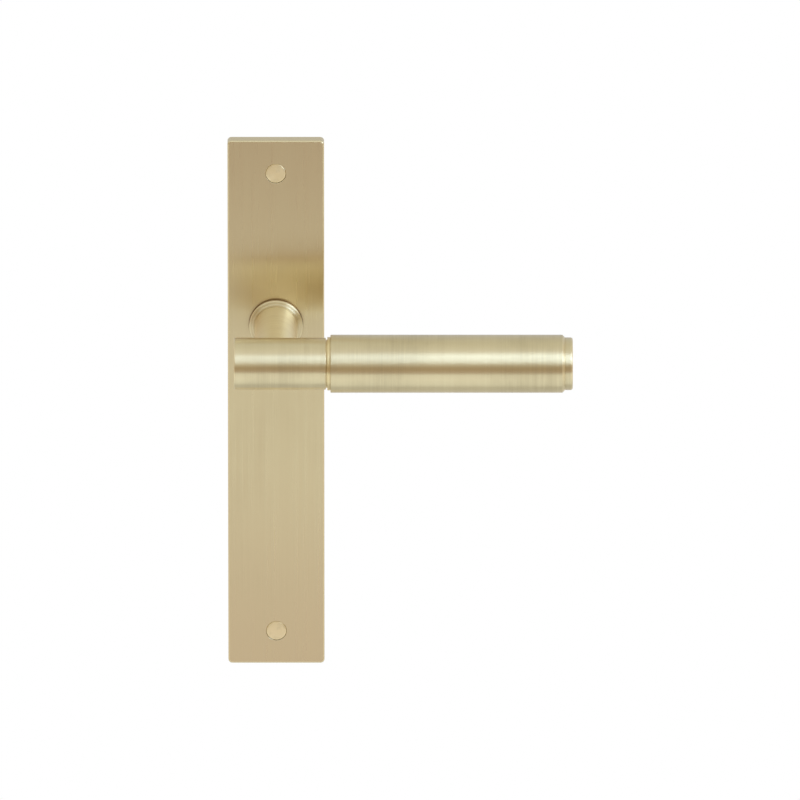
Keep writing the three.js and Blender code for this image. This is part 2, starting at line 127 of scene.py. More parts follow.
def lathe(corners, sides=SIDES):
    """A solid of revolution about Y. Each corner is (radius, y) or (radius, y, rounding)."""
    outline = rounded(corners)
    solid = bmesh.new()
    turns = [2 * math.pi * i / sides for i in range(sides)]
    rings = []
    for radius, along in outline:
        if radius < TINY:
            rings.append([solid.verts.new((0, along, 0))])
        else:
            circle = [(radius * math.sin(t), along, radius * math.cos(t)) for t in turns]
            rings.append([solid.verts.new(point) for point in circle])
    for ring, following in zip(rings, rings[1:] + rings[:1]):
        if len(ring) == len(following) == 1:
            continue
        for i in range(sides):
            four = [ring[i % len(ring)], ring[(i + 1) % sides % len(ring)],
                    following[(i + 1) % sides % len(following)], following[i % len(following)]]
            solid.faces.new(list(dict.fromkeys(four)))
    return outward(solid)


def outward(solid):
    bmesh.ops.recalc_face_normals(solid, faces=solid.faces)
    return solid


def stack(loops):
    """A solid skinned over closed loops of points, the first and last of them capped."""
    solid = bmesh.new()
    rings = [[solid.verts.new(point) for point in loop] for loop in loops]
    count = len(rings[0])
    for ring, following in zip(rings, rings[1:]):
        for i in range(count):
            solid.faces.new([ring[i], ring[(i + 1) % count], following[(i + 1) % count], following[i]])
    solid.faces.new(rings[0])
    solid.faces.new(rings[-1])
    return outward(solid)


def prism(corners, low, high):
    """An outline in X and Z, pulled along Y from low to high."""
    outline = rounded(corners)
    return stack([[(x, y, z) for x, z in outline] for y in (low, high)])


def block(low, high):
    """A box from its lowest to its highest corner."""
    (x0, y0, z0), (x1, y1, z1) = low, high
    return prism([(x0, z0), (x1, z0), (x1, z1), (x0, z1)], y0, y1)


def blocks_at_sides(near, far, low_y, high_y, half):
    """Two boxes, one on each side of the spindle, from near to far along X."""
    sides = ((near, far), (-far, -near))
    return [block((x0, low_y, -half), (x1, high_y, half)) for x0, x1 in sides]


def moved(solid, offset=(0, 0, 0), turn=0.0, about="Y"):
    """The solid, turned about an axis through the origin by degrees, then moved."""
    solid.transform(Matrix.Translation(offset) @ Matrix.Rotation(math.radians(turn), 4, about))
    return solid


def clock(angle, radius, y=0.0):
    """A point at a clock angle in degrees, from +Z towards +X."""
    turn = math.radians(angle)
    return Vector((radius * math.sin(turn), y, radius * math.cos(turn)))


def ring_sector(inner, outer, start, end, low, high, steps=24):
    """A piece of a flat ring between two clock angles."""
    outline = []
    for radius, first, last in ((outer, start, end), (inner, end, start)):
        for step in range(steps + 1):
            at = clock(first + (last - first) * step / steps, radius)
            outline.append((at.x, at.z))
    return prism(outline, low, high)


def combined(operation, base, *others):
    """The base solid with others cut away (DIFFERENCE), joined (UNION) or kept in common (INTERSECT)."""
    temporary = []
    for solid in (base, *others):
        mesh = bpy.data.meshes.new("temporary")
        solid.to_mesh(mesh)
        solid.free()
        part = bpy.data.objects.new("temporary", mesh)
        bpy.context.scene.collection.objects.link(part)
        temporary.append(part)
    for other in temporary[1:]:
        boolean = temporary[0].modifiers.new("boolean", "BOOLEAN")
        boolean.operation = operation
        boolean.solver = "MANIFOLD"
        boolean.object = other
    evaluated = temporary[0].evaluated_get(bpy.context.evaluated_depsgraph_get())
    result = bmesh.new()
    result.from_mesh(evaluated.to_mesh())
    evaluated.to_mesh_clear()
    for part in temporary:
        mesh = part.data
        bpy.data.objects.remove(part)
        bpy.data.meshes.remove(mesh)
    return result


def cut(base, *tools):
    return combined("DIFFERENCE", base, *tools)


def join(*solids):
    return combined("UNION", *solids)


THREAD_FORM = ((0.0, 0), (0.25, 0), (0.5625, 1), (0.6875, 1))  # share of the pitch, and root 0 or crest 1
THREAD_DEPTH = 0.61  # share of the pitch
WELD = 1e-4  # points closer than this become one


def threaded_rod(radius, pitch, low, high, sides=32):
    """A rod along Y with a real helical thread that fades out over its first and last turn."""
    depth = THREAD_DEPTH * pitch
    turns = math.ceil((high - low) / pitch) + 3
    solid = bmesh.new()
    rows = []
    for turn in range(turns):
        for share, crest in THREAD_FORM:
            row = []
            for i in range(sides):
                y = low + pitch * (turn - 1.5 + share + i / sides)
                fade = min(1.0, max(0.0, (y - low) / pitch), max(0.0, (high - y) / pitch))
                reach = radius - depth * (1 - crest * fade)
                row.append(solid.verts.new(clock(360 * i / sides, reach, min(high, max(low, y)))))
            rows.append(row)
    per_turn = len(THREAD_FORM)
    for k in range(len(rows) - per_turn - 1):
        for i in range(sides):
            beyond = i + 1 == sides
            near = rows[k + per_turn][0] if beyond else rows[k][i + 1]
            far = rows[k + 1 + per_turn][0] if beyond else rows[k + 1][i + 1]
            solid.faces.new([rows[k][i], near, far, rows[k + 1][i]])
    loose = [v for v in solid.verts if not v.link_faces]
    bmesh.ops.delete(solid, geom=loose, context="VERTS")
    bmesh.ops.remove_doubles(solid, verts=solid.verts, dist=WELD)
    bmesh.ops.dissolve_degenerate(solid, edges=solid.edges, dist=WELD)
    bmesh.ops.holes_fill(solid, edges=[e for e in solid.edges if e.is_boundary], sides=0)
    return outward(solid)


def swept(path, radius, sides=16):
    """A round wire along a path of points, with flat ends."""
    loops = []
    normal = None
    for i, point in enumerate(path):
        tangent = (path[min(i + 1, len(path) - 1)] - path[max(i - 1, 0)]).normalized()
        guess = normal or tangent.orthogonal()
        normal = (guess - tangent * guess.dot(tangent)).normalized()
        side = tangent.cross(normal)
        angles = [2 * math.pi * k / sides for k in range(sides)]
        loops.append([point + (normal * math.cos(a) + side * math.sin(a)) * radius for a in angles])
    return stack(loops)


# ------------------------------------------------------------------ node materials

MIX_FACTOR, MIX_LOW, MIX_HIGH, MIX_RESULT = 0, 6, 7, 2  # sockets of a Mix node that mixes colours


class Nodes:
    """A node tree, built up one node at a time."""

    def __init__(self, owner):
        owner.use_nodes = True
        self.tree = owner.node_tree

    def node(self, kind, inputs=None, **settings):
        made = self.tree.nodes.new("ShaderNode" + kind)
        for key, value in settings.items():
            setattr(made, key, value)
        for key, value in (inputs or {}).items():
            self.put(made.inputs[key], value)
        return made

    def put(self, socket, value):
        if isinstance(value, bpy.types.NodeSocket):
            self.tree.links.new(value, socket)
        else:
            socket.default_value = value

    def math(self, operation, *values, clamp=False):
        made = self.node("Math", operation=operation, use_clamp=clamp)
        for socket, value in zip(made.inputs, values):
            self.put(socket, value)
        return made.outputs[0]

    def vector(self, operation, *values, output=0):
        made = self.node("VectorMath", operation=operation)
        for socket, value in zip(made.inputs, values):
            self.put(socket, value)
        return made.outputs[output]

    def mix(self, factor, low, high):
        made = self.node("Mix", data_type="RGBA", clamp_factor=True)
        for socket, value in ((MIX_FACTOR, factor), (MIX_LOW, low), (MIX_HIGH, high)):
            self.put(made.inputs[socket], value)
        return made.outputs[MIX_RESULT]

    def ramp(self, value, from_low, from_high, to_low=0.0, to_high=1.0):
        made = self.node("MapRange", interpolation_type="SMOOTHSTEP", inputs={
            "Value": value, "From Min": from_low, "From Max": from_high, "To Min": to_low, "To Max": to_high})
        return made.outputs[0]


class Shader(Nodes):
    """The nodes of one material, measured in millimetres on the piece that has it."""

    def __init__(self, name):
        self.material = bpy.data.materials.new(name)
        super().__init__(self.material)
        self.surface = self.tree.nodes["Principled BSDF"]

    def set(self, **values):
        """Sets the surface's own sockets, with _ for a space in their names."""
        for key, value in values.items():
            self.put(self.surface.inputs[key.replace("_", " ")], value)

    def place(self, centre=(0, 0, 0)):
        """The place on the piece in millimetres, counted from a centre. It moves with the piece."""
        here = self.node("TexCoord").outputs["Object"]
        scaled = self.vector("MULTIPLY", here, (1 / MM,) * 3)
        return self.vector("SUBTRACT", scaled, tuple(centre))

    def noise(self, where, per_mm, detail=3.0, roughness=0.5, w=None):
        inputs = {"Vector": where, "Scale": per_mm, "Detail": detail, "Roughness": roughness}
        if w is None:
            return self.node("TexNoise", inputs).outputs[0]
        return self.node("TexNoise", {**inputs, "W": w}, noise_dimensions="4D").outputs[0]

    def bump(self, height, microns):
        return self.node("Bump", {"Height": height, "Strength": 1.0, "Distance": microns * 1e-6}).outputs[0]

    def edges(self, width):
        """1 within the width in millimetres of a convex or concave edge, and 0 on open surfaces."""
        soft = self.node("Bevel", {"Radius": width * MM}, samples=4).outputs[0]
        plain = self.node("NewGeometry").outputs["Normal"]
        alike = self.vector("DOT_PRODUCT", soft, plain, output=1)
        return self.ramp(alike, 0.995, 0.9)

    def roundings(self, axis=None):
        """1 where the surface turns from one flat side to the next, or from the round to the end."""
        normal = self.node("TexCoord").outputs["Normal"]
        if axis is None:
            parts = self.node("SeparateXYZ", {"Vector": self.vector("ABSOLUTE", normal)}).outputs
            most = self.math("MAXIMUM", self.math("MAXIMUM", parts[0], parts[1]), parts[2])
        else:
            along = self.math("ABSOLUTE", self.vector("DOT_PRODUCT", normal, axis, output=1))
            across = self.math("SQRT", self.math("SUBTRACT", 1.0, self.math("MULTIPLY", along, along)))
            most = self.math("MAXIMUM", along, across)
        return self.ramp(most, 0.99, 0.93)

    def to_world(self, direction):
        turned = self.node("VectorTransform", {"Vector": direction}, vector_type="VECTOR",
                           convert_from="OBJECT", convert_to="WORLD")
        return turned.outputs[0]


def rgb(red, green, blue):
    return (red, green, blue, 1.0)


def unit(axis):
    return tuple(1.0 if i == axis else 0.0 for i in range(3))


TURNED_ACROSS = 6.0  # a millimetre across turned grooves counts as this many radians along them
DRAWN_ALONG = 0.007  # a millimetre along straight brushing counts as this many across it


def turned_grain(shader, centre, axis):
    """Grooves that run round an axis. Gives fine and coarse streaks, and the direction round the axis."""
    place = shader.place(centre)
    line = unit(axis)
    along = shader.vector("DOT_PRODUCT", place, line, output=1)
    outward_part = shader.vector("SUBTRACT", place, shader.vector("MULTIPLY", place, line))
    radius = shader.vector("LENGTH", outward_part, output=1)
    towards_here = shader.vector("NORMALIZE", outward_part)
    lengthways = shader.vector("MULTIPLY", place, tuple(TURNED_ACROSS * part for part in line))
    level = shader.vector("ADD", towards_here, lengthways)
    outwards = shader.math("MULTIPLY", radius, TURNED_ACROSS)
    fine = shader.noise(level, 0.55, detail=4, roughness=0.7, w=outwards)
    coarse = shader.noise(level, 0.11, detail=3, roughness=0.6, w=shader.math("ADD", radius, along))
    around = shader.to_world(shader.vector("CROSS_PRODUCT", line, outward_part))
    return place, fine, coarse, around, shader.roundings(line)


def drawn_grain(shader, axis, across):
    """Straight brushing along one axis. Gives fine and coarse streaks, and the direction across them."""
    place = shader.place()
    squeeze = tuple(DRAWN_ALONG if i == axis else 1.0 for i in range(3))
    stretched = shader.vector("MULTIPLY", place, squeeze)
    fine = shader.noise(stretched, 3.0, detail=4, roughness=0.7)
    coarse = shader.noise(stretched, 0.5, detail=3, roughness=0.6)
    return place, fine, coarse, shader.to_world(unit(across)), shader.roundings()


BRASS = (0.86, 0.73, 0.46)
BRASS_SHADE = (0.81, 0.67, 0.4)
# Brown painted on as shade in the corner at the collar's foot.
FOOT_SHADE_BROWN = (0.3, 0.17, 0.06)
QUARTER_TURN = 0.25
FINE_SHARE = 0.6
COARSE_SHARE = 0.4
ROUGHNESS_SPREAD = (0.9, 1.12)  # share of the roughness on the smoothest and the roughest streaks
# Edges: rubbing makes them smoother; their brighter colour is partly real polish and partly a painted
# highlight.
WORN_AND_HIGHLIT_EDGE = 0.35  # width in millimetres
WORN_AND_HIGHLIT_GAIN = 1.12
WORN_AND_HIGHLIT_LIFT = 0.03
WORN_SMOOTHER = 0.12  # taken from the roughness where it is worn
STAIN_DARKNESS = 0.62  # a stain's colour as a share of the grooves' colour
STAIN_ROUGHER = 0.04  # added to the roughness where it is stained
COAT_ROUGHNESS = 0.3


def metal(name, colour, shade, roughness, grain, anisotropy=0.0, turn=0.0, groove=1.5, coat=0.0,
          blotch=0.03, wear=0.45, streak=0.5, tarnish=0.2, grime=None):
    """A brushed or turned metal: streaks in colour, roughness and height, faint blotches and worn edges,
    whose brighter colour is partly a painted highlight.

    shade is the colour of the grooves, groove their depth in micrometres and streak how much they show.
    blotch is how many blotches there are to a millimetre, tarnish how dark they are, and wear how
    bright the edges are, partly as real rubbing and partly as a painted highlight. turn is how far the gloss
    is turned from the grain's own direction, as a share of a full turn. grime gives where brown is painted on
    as shade."""
    shader = Shader(name)
    place, fine, coarse, direction, roundings = grain(shader)
    patches = shader.noise(place, blotch, detail=5, roughness=0.6)
    stained = shader.math("MULTIPLY", shader.ramp(patches, 0.45, 0.7), shader.ramp(fine, 0.3, 0.6))
    fine_part = shader.math("MULTIPLY", fine, FINE_SHARE)
    streaks = shader.math("ADD", fine_part, shader.math("MULTIPLY", coarse, COARSE_SHARE))
    dull = shader.math("MULTIPLY", shader.ramp(streaks, 0.35, 0.65), streak)
    # Edge mask for real rubbing and for a painted highlight along edges and roundings.
    worn = shader.math("MULTIPLY", shader.math("MAXIMUM", shader.edges(WORN_AND_HIGHLIT_EDGE), roundings), wear)
    body = shader.mix(dull, rgb(*colour), rgb(*shade))
    stain = rgb(*(part * STAIN_DARKNESS for part in shade))
    body = shader.mix(shader.math("MULTIPLY", stained, tarnish), body, stain)
    # Painted shade: brown mixed into the colour where the given mask says shade falls.
    if grime:
        body = shader.mix(grime(shader, place), body, rgb(*FOOT_SHADE_BROWN))
    # Brighter edge colour: partly real polish, partly a painted highlight.
    polished_and_highlit = tuple(min(1.0, part * WORN_AND_HIGHLIT_GAIN + WORN_AND_HIGHLIT_LIFT) for part in colour)
    smooth, rough = (roughness * share for share in ROUGHNESS_SPREAD)
    uneven = shader.ramp(streaks, 0.3, 0.7, smooth, rough)
    uneven = shader.math("ADD", uneven, shader.math("MULTIPLY", stained, STAIN_ROUGHER))
    uneven = shader.math("SUBTRACT", uneven, shader.math("MULTIPLY", worn, WORN_SMOOTHER), clamp=True)
    shader.set(Base_Color=shader.mix(worn, body, rgb(*polished_and_highlit)), Metallic=1.0, Roughness=uneven)
    shader.set(Normal=shader.bump(fine, groove), Anisotropic=anisotropy, Anisotropic_Rotation=turn)
    shader.set(Coat_Weight=coat, Coat_Roughness=COAT_ROUGHNESS)
    if anisotropy:
        shader.set(Tangent=direction)
    return shader.material


def foot_grime(shader, place):
    """Painted shade: brown in the corner where the collar's side goes into the plate, where shade falls."""
    along = shader.node("SeparateXYZ", {"Vector": place}).outputs["Y"]
    deep = shader.ramp(along, PLATE_FRONT - 2.0, PLATE_FRONT - 0.8)
    normal = shader.node("TexCoord").outputs["Normal"]
    side = shader.math("ABSOLUTE", shader.vector("DOT_PRODUCT", normal, unit(Y), output=1))
    return shader.math("MULTIPLY", deep, shader.ramp(side, 0.9, 0.4))


def turned_brass(name, centre, axis, **changes):
    settings = {"colour": BRASS, "shade": BRASS_SHADE, "roughness": 0.42, "anisotropy": 1.0,
                "turn": QUARTER_TURN, "coat": 0.5, **changes}
    return metal(name, grain=lambda shader: turned_grain(shader, centre, axis), **settings)


def drawn_metal(name, axis, across, **settings):
    return metal(name, grain=lambda shader: drawn_grain(shader, axis, across), **settings)


def cast_metal(name, colour, shade, roughness, grit):
    """A die-cast or blackened metal with a fine even grit."""
    shader = Shader(name)
    place = shader.place()
    fine = shader.noise(place, grit, detail=5, roughness=0.7)
    patches = shader.noise(place, 0.12, detail=4)
    worn = shader.math("MULTIPLY", shader.edges(0.3), 0.5)
    body = shader.mix(shader.ramp(patches, 0.35, 0.7), rgb(*colour), rgb(*shade))
    light = tuple(min(1.0, part * 1.5 + 0.05) for part in colour)
    shader.set(Base_Color=shader.mix(worn, body, rgb(*light)), Metallic=0.9)
    shader.set(Roughness=shader.ramp(fine, 0.3, 0.7, roughness * 0.85, roughness * 1.15))
    shader.set(Normal=shader.bump(fine, 12))
    return shader.material


def moulded_plastic(name, colour, shade):
    """Black acetal: a slight sheen over a fine moulded grain."""
    shader = Shader(name)
    place = shader.place()
    fine = shader.noise(place, 5.0, detail=4)
    shader.set(Base_Color=shader.mix(shader.noise(place, 0.3), rgb(*colour), rgb(*shade)))
    shader.set(Roughness=shader.ramp(fine, 0.3, 0.7, 0.42, 0.55), Normal=shader.bump(fine, 6))
    return shader.material


STEEL = {"colour": (0.62, 0.63, 0.62), "shade": (0.5, 0.5, 0.47), "roughness": 0.3}

plate_brass = drawn_metal("plate_brass", Z, X, colour=(0.75, 0.63, 0.39), shade=(0.69, 0.56, 0.33),
                          roughness=0.29, anisotropy=0.82, coat=0.5, blotch=0.02, wear=0.25, groove=0.4,
                          streak=0.25, tarnish=0.1)
lever_brass = turned_brass("lever_brass", LEVER_LINE, X, tarnish=0.2, streak=0.25)
neck_brass = turned_brass("neck_brass", SPINDLE_LINE, Y, anisotropy=0.85, streak=0.8)
# The collar has brown painted on as shade where it goes into the plate.
collar_brass = turned_brass("collar_brass", SPINDLE_LINE, Y, grime=foot_grime, wear=0.3,
                            colour=(0.9, 0.78, 0.52))
ring_brass = turned_brass("ring_brass", LEVER_LINE, X, colour=(0.9, 0.73, 0.4), roughness=0.36)
cap_brass = {
    side: turned_brass(f"{side}_cap_brass", (0, 0, z), Y, colour=(0.9, 0.74, 0.46), roughness=0.45,
                       anisotropy=0.4, wear=0.9, blotch=0.3, tarnish=0.5, streak=0.3)
    for side, z in (("top", FIXING_Z), ("bottom", -FIXING_Z))
}
raw_brass = turned_brass("raw_brass", LEVER_LINE, X, colour=(0.76, 0.6, 0.33), shade=(0.6, 0.44, 0.22),
                         coat=0.0, roughness=0.4)
drawn_steel = drawn_metal("drawn_steel", Y, Z, anisotropy=0.5, **STEEL)
plain_steel = turned_brass("plain_steel", SPINDLE_LINE, Y, coat=0.0, anisotropy=0.4, **STEEL)
spring_steel = drawn_metal("spring_steel", Y, Z, colour=(0.3, 0.31, 0.33), shade=(0.16, 0.15, 0.14),
                           roughness=0.3, groove=2.5)
dark_steel = cast_metal("dark_steel", (0.05, 0.05, 0.055), (0.03, 0.03, 0.03), roughness=0.38, grit=6.0)
cast_zinc = cast_metal("cast_zinc", (0.36, 0.37, 0.38), (0.27, 0.28, 0.29), roughness=0.5, grit=2.2)
acetal = moulded_plastic("acetal", (0.02, 0.02, 0.022), (0.03, 0.03, 0.032))


# ------------------------------------------------------------------ pieces

BODY_OF = {node: body for body, nodes in frame["record"]["behaviour"]["bodies"].items() for node in nodes}
FLAT_WEIGHT = 80  # how strongly a piece's big faces keep their own shading


def shaded(obj, material, edge=0.0):
    """Gives an object its material, soft edges and shading that stays flat on its flat faces."""
    obj.data.materials.clear()
    obj.data.materials.append(material)
    if edge:
        bevel = obj.modifiers.new("edge", "BEVEL")
        bevel.width = edge * MM
        bevel.segments = 2
        bevel.limit_method = "ANGLE"
        bevel.angle_limit = SHARP
    weighted = obj.modifiers.new("shading", "WEIGHTED_NORMAL")
    weighted.keep_sharp = True
    weighted.weight = FLAT_WEIGHT


def piece(node, solid, material, edge=0.0, rides=True):
    """Turns a solid into the visible piece that stands for a CAD node."""
    mesh = bpy.data.meshes.new(f"{node}_visual")
    solid.to_mesh(mesh)
    solid.free()
    mesh.transform(Matrix.Scale(MM, 4))
    mesh.polygons.foreach_set("use_smooth", [True] * len(mesh.polygons))
    mesh.set_sharp_from_angle(angle=SHARP)
    obj = bpy.data.objects.new(f"{node}_visual", mesh)
    bpy.context.scene.collection.objects.link(obj)
    shaded(obj, material, edge)
    if rides:
        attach(obj, BODY_OF[node])
    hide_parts(node)
    return obj


def on_lever(solid):
    """A solid turned about Y, laid along the lever's axis, with its own +Y towards +X."""
    return moved(solid, LEVER_LINE, -90, "Z")


def on_spindle(solid):
    return moved(solid, SPINDLE_LINE)


# ------------------------------------------------------------------ plate, screws and caps

PLATE_EDGE = 0.65
BACK_EDGE = 0.15
PLATE_CORNER = 1.6
CAP_GAP = 0.1
BORE = {"radius": 11.2, "pocket": 18.1, "depth": 2.0}
EAR = {"radius": 6.3, "reach": 20.5, "screw": 21.5}
TAP = {"radius": 1.5, "depth": 4.25}
BEYOND = 1  # how far a cutting tool reaches past the face that it cuts


def stadium(radius, reach):
    """Corners of a long outline with round ends, in X and Z."""
    return [(radius, -reach - radius, radius), (radius, reach + radius, radius),
            (-radius, reach + radius, radius), (-radius, -reach - radius, radius)]


def square(half, corner):
    """Corners of a square round the axis, in X and Z."""
    return [(-half, -half, corner), (half, -half, corner), (half, half, corner), (-half, half, corner)]


def at_ears(outline):
    """The same turned shape above and below the spindle, where the cassette's screws are."""
    return [moved(lathe(outline, FEW_SIDES), (0, 0, z)) for z in (EAR["screw"], -EAR["screw"])]


def backplate():
    low, high = span("backplate", X)
    bottom, top = span("backplate", Z)
    loops = []
    # A quarter round at the front edge, then a far smaller one at the back.
    quarter = [math.radians(angle) for angle in (0, 22.5, 45, 67.5, 90)]
    levels = [(PLATE_EDGE * (1 - math.sin(a)), PLATE_FRONT + PLATE_EDGE * (1 - math.cos(a))) for a in quarter]
    levels += [(0.0, PLATE_BACK - BACK_EDGE), (BACK_EDGE, PLATE_BACK)]
    for inset, y in levels:
        corner = PLATE_CORNER - inset
        outline = rounded([
            (low + inset, bottom + inset, corner), (high - inset, bottom + inset, corner),
            (high - inset, top - inset, corner), (low + inset, top - inset, corner)])
        loops.append([(x, y, z) for x, z in outline])
    mouth = 0.05
    bore = lathe([(0, PLATE_FRONT - BEYOND), (BORE["radius"] + mouth + BEYOND, PLATE_FRONT - BEYOND),
                  (BORE["radius"], PLATE_FRONT + mouth), (BORE["radius"], PLATE_BACK + BEYOND),
                  (0, PLATE_BACK + BEYOND)])
    pocket = lathe([(0, PLATE_BACK - BORE["depth"]), (BORE["pocket"], PLATE_BACK - BORE["depth"]),
                    (BORE["pocket"], PLATE_BACK + BEYOND), (0, PLATE_BACK + BEYOND)])
    ears = prism(stadium(EAR["radius"], EAR["reach"]), PLATE_BACK - BORE["depth"], PLATE_BACK + BEYOND)
    tap, tap_end = TAP["radius"], PLATE_BACK - TAP["depth"]
    taps = at_ears([(0, tap_end), (tap, tap_end), (tap, PLATE_BACK), (0, PLATE_BACK)])
    at_spindle = [on_spindle(tool) for tool in (bore, pocket, ears, *taps)]
    at_screws = [moved(fixing_hole(), (0, 0, z)) for z in (FIXING_Z, -FIXING_Z)]
    return cut(stack(loops), *at_spindle, *at_screws)


def fixing_hole():
    """The cap's seat, with a slightly broken edge, then the screw's countersink and clearance hole."""
    cap = radius_of("top_screw_cap") + CAP_GAP
    head = span("top_fixing_screw", Y)[0]
    mouth = radius_of("top_fixing_screw") + CAP_GAP
    hole = 2.2
    ledge = head - 0.05
    broken = 0.08
    return lathe([
        (0, PLATE_FRONT - BEYOND), (cap + broken + BEYOND, PLATE_FRONT - BEYOND), (cap, PLATE_FRONT + broken),
        (cap, ledge), (mouth, ledge), (hole, ledge + mouth - hole), (hole, PLATE_BACK + BEYOND),
        (0, PLATE_BACK + BEYOND)], FEW_SIDES)


RECESS_LENGTH, RECESS_WIDTH, RECESS_DEPTH = 1.25, 0.3, 0.35  # shares of the screw head's radius


def cross_recess(length, width, face, depth, into):
    """Two crossed slots that narrow as they go in from a screw's face, towards +Y or -Y."""
    floor = face + into * depth
    above = face - into * depth
    arms = []
    for angle in (45, 135):
        levels = ((above, 2.0), (face, 1.0), (floor, 0.45))
        loops = [[(sx * length * reach / 2, y, sz * width * (1 + reach) / 4)
                  for sx, sz in ((-1, -1), (1, -1), (1, 1), (-1, 1))] for y, reach in levels]
        arms.append(moved(stack(loops), turn=angle))
    return arms


def countersunk_screw(head, shank, pitch, face, tip):
    """A countersunk machine screw along Y with a cross recess in its head and a real thread."""
    into = 1 if tip > face else -1
    rim = 0.15
    cone = [(0, face), (head - 0.1, face), (head, face + into * rim),
            (shank * 0.9, face + into * (head - shank + rim)), (0, face + into * (head - shank + rim))]
    start, end = sorted((face + into * (head - shank), tip))
    body = join(lathe(cone, FEW_SIDES), threaded_rod(shank, pitch, start, end))
    arms = cross_recess(head * RECESS_LENGTH, head * RECESS_WIDTH, face, head * RECESS_DEPTH, into)
    return cut(body, *arms)


def screw_cap():
    """A flush turned disc with a rounded rim and a very slightly dished face."""
    radius = radius_of("top_screw_cap")
    front, back = span("top_screw_cap", Y)
    return lathe([(0, front), (radius * 0.6, front + 0.02), (radius - 0.6, front + 0.06),
                  (radius, front + 0.1, 0.3), (radius, back, 0.1), (0, back)], FEW_SIDES)


piece("backplate", backplate(), plate_brass)
for side, z in (("top", FIXING_Z), ("bottom", -FIXING_Z)):
    cap_node, screw_node = f"{side}_screw_cap", f"{side}_fixing_screw"
    piece(cap_node, moved(screw_cap(), (0, 0, z)), cap_brass[side])
    screw_front, screw_tip = span(screw_node, Y)
    screw = countersunk_screw(radius_of(screw_node), shank=2.0, pitch=0.7, face=screw_front, tip=screw_tip)
    piece(screw_node, moved(screw, (0, 0, z)), plain_steel)


# ------------------------------------------------------------------ neck and what turns with it

HUB_RADIUS = radius_of("lever_hub")
NECK_RADIUS = radius_of("neck")
SEAT = 0.02  # clearance between pieces that are pressed or screwed together
SHANK = 7.95
SHOULDER_Y = -4.0
SPIGOT = 5.0
SOCKET = {"half": 4.15, "floor": -28.0}
GROOVE = {"radius": 7.1, "front": 10.05, "back": 11.15}
FLAT = 6.9
FLATS_FRONT = -0.55
WIDE = 20  # further from the spindle's axis than the neck and the driver's sleeve reach
BOLT_RADIUS = 2.5
GRUB = {"radius": 2.4, "y": -13.0}


def neck():
    spigot_end, end = span("neck", Y)
    blank_front, spigot_back = LEVER_Y + 2, LEVER_Y + 12
    body = lathe([(0, blank_front), (NECK_RADIUS, blank_front), (NECK_RADIUS, SHOULDER_Y, 0.1),
                  (SHANK, SHOULDER_Y), (SHANK, GROOVE["front"]), (GROOVE["radius"], GROOVE["front"]),
                  (GROOVE["radius"], GROOVE["back"]), (SHANK, GROOVE["back"]), (SHANK, end - 0.5),
                  (SHANK - 0.5, end), (0, end)])
    reach = 2 * HUB_RADIUS
    saddle = moved(lathe([(0, -reach), (HUB_RADIUS + SEAT, -reach), (HUB_RADIUS + SEAT, reach), (0, reach)]),
                   (0, LEVER_Y, 0), 90, "Z")
    flats = blocks_at_sides(FLAT, WIDE, FLATS_FRONT, end + BEYOND, WIDE)
    shaped = cut(body, saddle, *flats)
    spigot = lathe([(0, spigot_end), (SPIGOT, spigot_end, 0.3), (SPIGOT, spigot_back), (0, spigot_back)])
    socket = prism(square(SOCKET["half"], 0.4), SOCKET["floor"], end + BEYOND)
    clear, low, high = BOLT_RADIUS + 0.2, spigot_end - BEYOND, SOCKET["floor"] + BEYOND
    bolt_hole = lathe([(0, low), (clear, low), (clear, high), (0, high)], FEW_SIDES)
    grub = GRUB["radius"] + 0.1
    outside = NECK_RADIUS + 0.7
    grub_hole = lathe([(0, 3), (grub, 3), (grub, NECK_RADIUS - 0.5), (grub + 1.2, outside), (0, outside)],
                      FEW_SIDES)
    moved(grub_hole, (0, GRUB["y"], 0), -90, "X")
    return on_spindle(cut(join(shaped, spigot), socket, bolt_hole, grub_hole))


def collar():
    """A low two-step ring round the foot of the neck, a little wider than its CAD node."""
    front, back = span("neck_collar", Y)
    foot = radius_of("neck_collar") + 0.24
    step = foot - 1.2
    ledge = front + 0.3
    inner = NECK_RADIUS + SEAT
    return on_spindle(lathe([(inner, front, 0.12), (step, front, 0.4), (step, ledge, 0.08),
                             (foot, ledge, 0.5), (foot, back, 0.1), (inner, back)]))


def hexagon(across_flats, low, high):
    corners = [clock(60 * i, across_flats / math.sqrt(3)) for i in range(6)]
    return prism([(at.x, at.z) for at in corners], low, high)


def spindle():
    front, end = span("spindle", Y)
    half = radius_of("spindle")
    loops = []
    for y, inset in ((front, 0.4), (front + 0.4, 0), (end - 0.4, 0), (end, 0.4)):
        outline = rounded(square(half - inset, 0.3))
        loops.append([(x, y, z) for x, z in outline])
    return on_spindle(stack(loops))


def neck_bolt():
    """A socket cap screw with its head at the bottom of the square socket."""
    tip, head_back = span("neck_bolt", Y)
    head = radius_of("neck_bolt")
    head_front = head_back - 3.7
    key, key_end = 4, head_back - 2
    shape = [(0, head_front), (head, head_front, 0.15), (head, head_back, 0.5), (0, head_back)]
    body = join(lathe(shape, FEW_SIDES), threaded_rod(BOLT_RADIUS, 0.8, tip, head_front + 0.5))
    return on_spindle(cut(body, hexagon(key, key_end, head_back + BEYOND)))


def grub_screw():
    """A socket set screw, made pointing along +Y and then turned to point down."""
    inner, outer = 4.2, 8.3
    key, key_end = 2.5, outer - 1.7
    body = threaded_rod(GRUB["radius"], 0.8, inner, outer)
    screw = cut(body, hexagon(key, key_end, outer + BEYOND))
    return moved(screw, SPINDLE_LINE + Vector((0, GRUB["y"], 0)), -90, "X")


piece("neck", neck(), neck_brass)
piece("neck_collar", collar(), collar_brass)
piece("spindle", spindle(), drawn_steel)
piece("neck_bolt", neck_bolt(), dark_steel)
piece("spindle_grub_screw", grub_screw(), dark_steel)


# ------------------------------------------------------------------ lever

